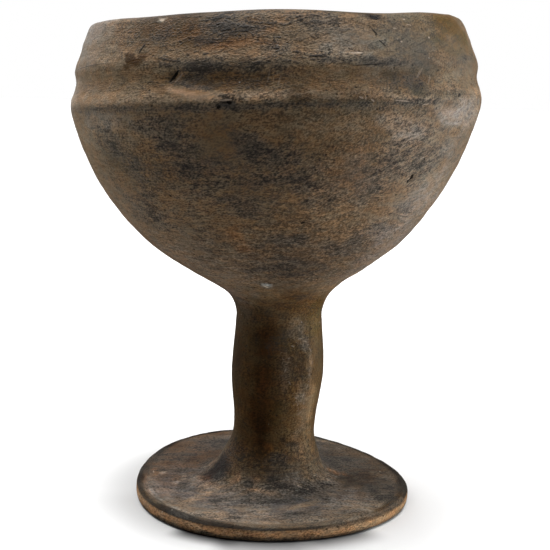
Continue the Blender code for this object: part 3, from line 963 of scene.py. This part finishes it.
def outline():
    """The whole outline as points, and how far along it each lies from the top of the lip."""
    curve = curve_through(KNOTS)
    curve[0, 0] = 0  # the middle of the bowl's floor is on the axis
    flat = [curve[-1]]
    for corner in UNDERSIDE:
        start, end = flat[-1], np.array(corner)
        steps = max(2, round(np.linalg.norm(end - start) / FLAT_STEP))
        flat += [start + (end - start) * k / steps for k in range(1, steps + 1)]
    points = np.vstack([curve, flat[1:]])
    length = np.r_[0, np.cumsum(np.linalg.norm(np.diff(points, axis=0), axis=1))]
    top = np.argmin(np.linalg.norm(points - np.array(LIP_TOP), axis=1))
    return points, length - length[top]


def rings():
    """Each ring of the mesh: radius, height, along, facets, and which way the surface faces there."""
    points, along = outline()
    size = np.array(FACE_SIZES)[np.searchsorted(FACE_PLACES, along)]
    count = np.r_[0, np.cumsum(np.diff(along) / size[1:])]
    at = np.linspace(0, count[-1], int(round(count[-1])) + 1)
    s = np.interp(at, count, along)

    def on_outline(place):
        return np.stack([np.interp(place, along, column) for column in points.T])

    r, z = on_outline(s)
    width = np.maximum(np.interp(s, along, size), NARROWEST)
    steps = np.round(math.tau * r / width / FACET_STEP)
    facets = np.maximum(FACET_STEP / 2, FACET_STEP * steps).astype(int)
    dr, dz = on_outline(s + FACING_REACH) - on_outline(s - FACING_REACH)
    long = np.hypot(dr, dz)
    return r, z, s, facets, -dz / long, dr / long


def between_rings(first, n, second, m):
    """Triangles that join a ring of n points to the next ring, of m points."""
    i, j = np.arange(n), np.arange(m)
    apex = np.floor((i + 0.5) * m / n + 0.5).astype(int) % m
    down = np.stack([first + i, first + (i + 1) % n, second + apex], axis=1)
    apex = np.ceil((j + 0.5) * n / m - 0.5).astype(int) % n
    up = np.stack([second + (j + 1) % m, second + j, first + apex], axis=1)
    # A ring that is a single point has no sides of its own.
    return np.vstack([side for side, count in ((down, n), (up, m)) if count > 1])


def chalice_mesh():
    """The mesh's points and faces, and each point's direction, along and radius."""
    r, z, s, facets, face_r, face_z = rings()
    facets[0] = facets[-1] = 1  # a point in the middle of the bowl's floor, and one under the foot
    start = np.r_[0, np.cumsum(facets)]
    ring = np.repeat(np.arange(len(facets)), facets)
    turn = (np.arange(len(ring)) - start[ring]) / facets[ring]
    angle = math.pi / 2 + math.tau * turn  # the first point of each ring is at the back
    radius, along = r[ring], s[ring]
    points = hand_shaped(radius, angle, z[ring])
    facing = np.stack(
        [face_r[ring] * np.cos(angle), face_r[ring] * np.sin(angle), face_z[ring]], axis=1
    )
    points = points + facing * relief(points, angle, along, radius)[:, None]
    points[:, 2] = np.maximum(points[:, 2], 0)
    sizes = zip(start, facets, start[1:], facets[1:])
    return points, np.vstack([between_rings(*pair) for pair in sizes]), angle, along, radius


def put(name, data):
    """Adds an object to the scene."""
    added = bpy.data.objects.new(name, data)
    bpy.context.scene.collection.objects.link(added)
    return added


def mesh_object(name, points, faces):
    mesh = bpy.data.meshes.new(name)
    mesh.vertices.add(len(points))
    mesh.vertices.foreach_set("co", (points * MM).ravel())
    mesh.loops.add(faces.size)
    mesh.loops.foreach_set("vertex_index", faces.ravel().astype(np.int32))
    mesh.polygons.add(len(faces))
    mesh.polygons.foreach_set("loop_start", np.arange(0, faces.size, 3, dtype=np.int32))
    mesh.update(calc_edges=True)
    mesh.validate()
    mesh.shade_smooth()
    return put(name, mesh)


def store(mesh, name, values):
    """Keeps a number, or a colour or place as three, for each point of the mesh."""
    kind, field = ("FLOAT", "value") if values.ndim == 1 else ("FLOAT_VECTOR", "vector")
    kept = mesh.attributes.new(name, kind, "POINT")
    kept.data.foreach_set(field, values.astype(np.float32).ravel())


# ---- materials
SOOT_BLACK = (0.036, 0.031, 0.026)
SMOKE = (0.080, 0.073, 0.063)  # thin soot
COOL = (0.93, 1.00, 1.05)
WARM = (1.06, 0.98, 0.88)
# fresh clay in scrapes, and a painted highlight beside the gouge
FRESH_CLAY_AND_HIGHLIGHT = (0.42, 0.33, 0.25)
# painted shade in the pits
PIT_SHADE = (0.020, 0.014, 0.009)
CUT_SHADOW_AND_SPECK = (0.006, 0.004, 0.002)  # painted shadow inside a cut, and the dark of the burnt specks among the cuts
RUBBED = (1.20, 1.18, 1.16)  # how much lighter the clay is where it is rubbed
FALL, RISE = 0.24, -0.16  # slopes of the burnisher's strokes
BURNISHED = (0.70, 0.52)  # roughness
UNBURNISHED = 0.95  # that of the foot
FOOT_TOP_HEIGHT = (7, 15)  # mm above the ground, where the foot turns into the stem
GLOSS = 0.2
PAPER_ROUGHNESS = 0.9


class Recipe:
    """Adds shader nodes and joins them, so that a material below reads as a formula."""

    def __init__(self, name):
        self.material = bpy.data.materials.new(name)
        self.material.use_nodes = True
        self.nodes = self.material.node_tree.nodes
        self.links = self.material.node_tree.links

    def feed(self, node, inputs):
        """Joins sockets to a node's inputs, and sets its other inputs."""
        for socket, value in inputs.items():
            if isinstance(value, bpy.types.NodeSocket):
                self.links.new(value, node.inputs[socket])
            else:
                node.inputs[socket].default_value = value

    def add(self, kind, inputs, output=0, **settings):
        node = self.nodes.new("ShaderNode" + kind)
        for setting, value in settings.items():
            setattr(node, setting, value)
        self.feed(node, inputs)
        return node.outputs[output]

    def here(self):
        """The place in the piece, in metres."""
        return self.add("TexCoord", {}, output=3)

    def stored(self, name, output):
        """What store() keeps on the mesh: a colour is output 0, a place 1 and a number 2."""
        return self.add("Attribute", {}, output=output, attribute_name=name)

    def length(self, vector):
        return self.add("VectorMath", {0: vector}, output=1, operation="LENGTH")

    def grey(self, value):
        return self.add("CombineColor", {0: value, 1: value, 2: value})

    def math(self, operation, *values):
        return self.add("Math", dict(enumerate(values)), operation=operation)

    def blend(self, *shares):
        """The sum of (value, weight) pairs."""
        total = self.math("MULTIPLY", *shares[0])
        for value, weight in shares[1:]:
            total = self.math("MULTIPLY_ADD", value, weight, total)
        return total

    def fade(self, value, low, high, start=0.0, end=1.0):
        """start where value is low, end where it is high, and a smooth S between them."""
        limits = {"From Min": low, "From Max": high, "To Min": start, "To Max": end}
        return self.add("MapRange", {"Value": value, **limits}, interpolation_type="SMOOTHSTEP")

    def between(self, share, first, second):
        """first where the share is 0, and second where it is 1."""
        return self.add("Mix", {0: share, 2: first, 3: second})

    def mix(self, share, first, second, how="MIX"):
        """The same for colours, which are sockets or three numbers."""
        first, second = ((*c, 1) if isinstance(c, tuple) else c for c in (first, second))
        inputs = {0: share, 6: first, 7: second}
        return self.add("Mix", inputs, output=2, data_type="RGBA", blend_type=how)

    def scaled(self, place, size, seed):
        """The place in units of the size or sizes, and moved by the seed."""
        sides = np.broadcast_to(size, 3)
        inputs = {0: place, 1: tuple(1 / sides), 2: (seed, 1.7 * seed, 2.3 * seed)}
        return self.add("VectorMath", inputs, operation="MULTIPLY_ADD")

    def noise(self, place, size, seed, layers=2.0, rough=0.5):
        """Smooth noise with features of about the given size or sizes, in mm."""
        at = self.scaled(place, size, seed)
        inputs = {"Vector": at, "Scale": 1.0, "Detail": layers, "Roughness": rough}
        return self.add("TexNoise", inputs)

    def scored(self, name):
        """1 inside the marks that an attribute places, fading to 0 at their edges."""
        place = self.stored(name, 1)
        u, v, strength = self.add("SeparateXYZ", {0: place}).node.outputs
        away = self.length(self.add("CombineXYZ", {0: u, 1: v}))
        return self.math("MULTIPLY", strength, self.fade(away, 1.0, 0.7))

    def dots(self, place, size, seed, share, low, high):
        """Round spots in a share of the cells of a size: 1 up to low, and 0 beyond high, of that size."""
        cells = self.add("TexVoronoi", {"Vector": self.scaled(place, size, seed), "Scale": 1.0})
        chance = self.add("SeparateColor", {0: cells.node.outputs["Color"]})
        picked = self.math("LESS_THAN", chance, share)
        return self.math("MULTIPLY", picked, self.fade(cells, low, high, 1.0, 0.0))


def clay():
    """Low-fired clay, burnished with a stick, sooted in the kiln and worn in the ground, with painted
    shade in its cuts and pits.
    """
    r = Recipe("terracotta")
    place = r.add("VectorMath", {0: r.here(), "Scale": 1 / MM}, operation="SCALE")
    lay = r.stored("lay", 1)
    tint = r.stored("tint", 0)
    soot, grit, crusted = (r.stored(name, 2) for name in ("soot", "grit", "crust"))

    # The burnisher's strokes run round the chalice, some rising and some falling.
    x, y, z = r.add("SeparateXYZ", {0: lay}).node.outputs
    round_it = r.math("ADD", x, y)
    falling, rising = (
        r.add("CombineXYZ", {0: x, 1: y, 2: r.math("MULTIPLY_ADD", round_it, slope, z)})
        for slope in (FALL, RISE)
    )
    falls = r.noise(falling, (7, 7, 1.4), 7, layers=3, rough=0.75)
    rises = r.noise(rising, (6, 6, 1.2), 9, layers=3, rough=0.75)
    which = r.fade(r.noise(place, 17, 21, layers=1), 0.42, 0.58)
    stroke = r.between(which, falls, rises)
    # Those on the stem run up and down.
    upright = r.noise(place, (1.7, 1.7, 7), 35, layers=3, rough=0.7)
    stem = r.math("MULTIPLY", r.fade(z, 144, 152, 0.0, 0.75), r.fade(z, 204, 213, 1.0, 0.0))
    stroke = r.between(stem, stroke, upright)

    cloud = r.noise(lay, (9, 9, 6), 3, layers=5, rough=0.85)
    grain = r.noise(falling, (0.95, 0.95, 0.60), 11, layers=1, rough=0.6)
    wide = r.noise(place, 13, 15, layers=2)

    # Soot: thick where the noise is below the painted density, and thin round that.
    ragged = r.blend((cloud, 0.50), (stroke, 0.30), (grain, 0.20))
    level = r.math("MULTIPLY_ADD", soot, 0.30, 0.35)
    over = r.math("SUBTRACT", level, ragged)
    smoked = r.fade(over, -0.130, 0.030, 0.0, 0.48)
    sooted = r.fade(over, -0.030, 0.110, 0.0, 0.82)

    hue = r.fade(r.noise(lay, (6, 6, 3.5), 25, layers=3, rough=0.6), 0.40, 0.60)
    warm = r.mix(hue, COOL, WARM)
    colour = r.mix(1, tint, warm, "MULTIPLY")
    colour = r.mix(smoked, colour, SMOKE)
    rubbed = r.fade(r.blend((stroke, 0.6), (cloud, 0.4)), 0.52, 0.70)
    colour = r.mix(rubbed, colour, RUBBED, "MULTIPLY")
    colour = r.mix(sooted, colour, SOOT_BLACK)
    wiped = r.noise(lay, (18, 18, 0.55), 31, layers=1)
    shade = r.blend((grain, 0.50), (stroke, 0.33), (cloud, 0.10), (wiped, 0.07))
    shade = r.fade(shade, 0.37, 0.62, 0.38, 1.45)
    patchy = r.math("MULTIPLY", grit, r.fade(wide, 0.35, 0.60, 0.55, 1.0))
    colour = r.mix(patchy, colour, r.grey(shade), "MULTIPLY")

    grains = r.noise(place, 1.25, 45, layers=2, rough=0.7)
    grains = r.fade(grains, 0.40, 0.62, 0.55, 1.50)
    colour = r.mix(crusted, colour, r.grey(grains), "MULTIPLY")

    # Pits are sunk in the bump and coloured dark as painted shade.
    pits = r.dots(place, (3.4, 3.4, 2.6), 13, 0.35, 0.10, 0.20)
    colour = r.mix(r.math("MULTIPLY", pits, 0.7), colour, PIT_SHADE)
    specks = r.dots(place, 4.2, 17, 0.10, 0.05, 0.10)
    colour = r.mix(r.math("MULTIPLY", specks, 0.35), colour, CHALK)

    # Scrapes show fresh clay, and one of them a painted highlight beside the gouge; cuts get painted
    # shadow inside them, and the burnt specks among them are dark.
    scraped = r.scored("scrape")
    colour = r.mix(scraped, colour, FRESH_CLAY_AND_HIGHLIGHT)
    cut = r.scored("cut")
    colour = r.mix(cut, colour, CUT_SHADOW_AND_SPECK)

    height = r.blend((grain, 0.26), (cloud, 0.40), (stroke, 0.40), (pits, -0.25))
    height = r.math("MULTIPLY", height, grit)
    height = r.math("MULTIPLY_ADD", cut, -0.8, r.math("MULTIPLY_ADD", scraped, 0.25, height))
    bump = r.nodes.new("ShaderNodeBump")
    r.feed(bump, {"Strength": 1.0, "Distance": MM, "Height": height})
    rough = r.fade(r.blend((wide, 0.5), (stroke, 0.5)), 0.38, 0.62, *BURNISHED)
    # The foot was never burnished.
    up = r.add("SeparateXYZ", {0: place}, output=2)
    rough = r.fade(up, *FOOT_TOP_HEIGHT, UNBURNISHED, rough)

    surface = {"Base Color": colour, "Roughness": rough, "Normal": bump.outputs[0]}
    r.feed(r.nodes["Principled BSDF"], {**surface, "Specular IOR Level": GLOSS})
    return r.material


# ---- the piece
def chalice():
    """The one visible piece, with what its material reads from it."""
    points, faces, angle, along, radius = chalice_mesh()
    piece = mesh_object("chalice_surface", points, faces)
    store(piece.data, "grit", grittiness(angle, along))
    store(piece.data, "crust", crust(angle, along))
    store(piece.data, "lay", grain_lay(points, along))
    store(piece.data, "cut", scored(angle, along, radius, CUTS))
    store(piece.data, "scrape", scored(angle, along, radius, SCRAPES))
    for name, values in zip(("tint", "soot"), colours(points, angle, along)):
        store(piece.data, name, values)
    piece.data.materials.append(clay())
    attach(piece, "root")
    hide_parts("chalice")


# ---- the studio
CAMERA_BACK = 445  # mm in front of the axis
CAMERA_UP = 171.6
CAMERA_PITCH = math.radians(9.79)  # downwards
CAMERA_ROLL = math.radians(1.4)
CAMERA_LENS = 68.92
CAMERA_SENSOR = 36
AMBIENT = 0.02  # how bright the background is as a light
AIM = Vector((0, 0, 0.12))  # where the softboxes point
SUNS = (  # (name, direction, height and spread in degrees, strength)
    ("overhead", -90, 89, 60, 1.36),
    ("high_back_left", 140, 55, 40, 0.37),
)
SOFTBOXES = (  # (name, direction, height in degrees, distance, width and height in m, power)
    ("right", 0, 6, 1.2, 1, 1, 13.2),
    ("high_left", 170, 40, 1.2, 1.2, 1.2, 2.5),
    ("back_left", 135, 22, 1.2, 1, 1, 3.7),
    ("back", 90, 22, 1.2, 1, 1, 1.9),
)
EDGE_CARD = (0.045, 0.012)  # width and height in m
EDGE_CARD_PLACE = (0.100, 0.007)  # distance and height in m
EDGE_CARD_AIM = 0.060  # distance in m
EDGE_CARDS = (  # (direction, power) of small cards that stand round the foot and light its edge
    (-155, 0.0012),
    (-125, 0.0008),
    (-92, 0.0006),
    (-60, 0.0012),
    (-28, 0.0016),
)
BOUNCES = (  # (name, middle, width and depth in m, power) of cards that throw light up at the bowl
    ("right_card", (0.2, 0, 0.06), 0.16, 0.35, 0.84),
    ("left_card", (-0.2, 0, 0.06), 0.16, 0.35, 0.5),
    ("front_card", (0, -0.22, 0.03), 0.3, 0.12, 0.083),
    ("front_floor", (0, -0.125, 0.004), 0.16, 0.07, 0.066),
    ("right_floor", (0.125, 0, 0.004), 0.07, 0.25, 0.05),
)
FLOOR_GREY = 0.80
FLOOR_SIZE = 30
FLOOR_GAP = 0.0004  # m under the foot
PAINTED_CONTACT_SHADOWS = (  # painted contact shadow on the floor: (direction, degrees round it where it is full and where it ends, distances from the origin in m where it is darkest and ends, darkest)
    # ends, distances from the origin in m where it is darkest and ends, darkest)
    (-90, 9, 20, 0.056, 0.081, 0.12),
    (-62, 6, 18, 0.057, 0.075, 0.05),
    (-113, 7, 15, 0.06, 0.07, 0.1),
    (-138, 18, 37, 0.06, 0.1, 0.88),
    (-170, 37, 78, 0.05, 0.084, 0.7),
)


def camera():
    data = bpy.data.cameras.new("camera")
    data.sensor_width = CAMERA_SENSOR
    data.lens = CAMERA_LENS
    data.clip_start, data.clip_end = 0.01, 20
    view = put("camera", data)
    right = Vector((1, 0, 0))
    up = Vector((0, math.sin(CAMERA_PITCH), math.cos(CAMERA_PITCH)))
    ahead = Vector((0, math.cos(CAMERA_PITCH), -math.sin(CAMERA_PITCH)))
    c, s = math.cos(CAMERA_ROLL), math.sin(CAMERA_ROLL)
    turned = Matrix((right * c + up * s, up * c - right * s, -ahead)).transposed()
    place = Vector((AXIS_X, -CAMERA_BACK, CAMERA_UP)) * MM
    view.matrix_world = Matrix.Translation(place) @ turned.to_4x4()
    bpy.context.scene.camera = view


def softbox(name, place, towards, width, height, power, glossy=False):
    """A soft rectangle of light, which the camera doesn't see."""
    data = bpy.data.lights.new(name, "AREA")
    data.shape = "RECTANGLE"
    data.size, data.size_y = width, height
    data.energy = power
    lamp = put(name, data)
    lamp.location = place
    lamp.rotation_euler = towards.to_track_quat("-Z", "Y").to_euler()
    lamp.visible_camera = False
    lamp.visible_glossy = glossy


def sunlight(name, direction, height, spread, strength):
    """An even, soft light from far away."""
    data = bpy.data.lights.new(name, "SUN")
    data.energy = strength * math.pi
    data.angle = math.radians(spread)
    towards = heading(direction, height)
    put(name, data).rotation_euler = towards.to_track_quat("Z", "Y").to_euler()


def heading(direction, height):
    """The way to a place round the chalice and above the ground, both in degrees."""
    turn, rise = math.radians(direction), math.radians(height)
    flat = math.cos(rise)
    return Vector((flat * math.cos(turn), flat * math.sin(turn), math.sin(rise)))


def paper():
    """Plain pale paper, with a painted contact shadow: darker in a soft band at the front and the left of
    the foot.
    """
    r = Recipe("paper")
    place = r.here()
    away = r.length(place)
    shade = FLOOR_GREY
    # Each row darkens the paper in a painted contact shadow.
    for direction, full, none, start, end, darkest in PAINTED_CONTACT_SHADOWS:
        axis = heading(direction, 0)
        least, most = math.cos(math.radians(none)), math.cos(math.radians(full))
        facing = r.add("VectorMath", {0: place, 1: axis}, output=1, operation="DOT_PRODUCT")
        side = r.fade(r.math("DIVIDE", facing, away), least, most)
        near = r.fade(away, start, end, darkest, 1.0)
        shade = r.math("MULTIPLY", shade, r.between(side, 1.0, near))
    r.feed(r.nodes["Principled BSDF"], {"Base Color": r.grey(shade), "Roughness": PAPER_ROUGHNESS})
    return r.material


def background():
    """White to the camera, and nearly dark to everything else."""
    world = bpy.data.worlds.new("studio")
    bpy.context.scene.world = world
    world.use_nodes = True
    nodes, links = world.node_tree.nodes, world.node_tree.links
    light = nodes["Background"]
    light.inputs["Color"].default_value = (*[AMBIENT] * 3, 1)
    seen = nodes.new("ShaderNodeBackground")
    seen.inputs["Color"].default_value = (1, 1, 1, 1)
    path = nodes.new("ShaderNodeLightPath")
    both = nodes.new("ShaderNodeMixShader")
    links.new(path.outputs["Is Camera Ray"], both.inputs[0])
    links.new(light.outputs[0], both.inputs[1])
    links.new(seen.outputs[0], both.inputs[2])
    links.new(both.outputs[0], nodes["World Output"].inputs["Surface"])


def lights():
    for sun in SUNS:
        sunlight(*sun)
    for name, direction, height, away, *sides, power in SOFTBOXES:
        towards = away * heading(direction, height)
        softbox(name, AIM + towards, -towards, *sides, power, glossy=True)
    for name, place, *sides, power in BOUNCES:
        softbox(name, place, Vector((0, 0, 1)), *sides, power)
    for direction, power in EDGE_CARDS:
        outward = heading(direction, 0)
        away, height = EDGE_CARD_PLACE
        place = outward * away + Vector((0, 0, height))
        softbox(f"edge_card_{-direction}", place, outward * EDGE_CARD_AIM - place, *EDGE_CARD, power)


def ground():
    bpy.ops.mesh.primitive_plane_add(size=FLOOR_SIZE, location=(0, 0, -FLOOR_GAP))
    floor = bpy.context.object
    floor.name = "floor"
    floor.visible_diffuse = floor.visible_glossy = False
    floor.data.materials.append(paper())


chalice()
background()
lights()
ground()
camera()
bpy.context.scene.view_settings.view_transform = "Standard"
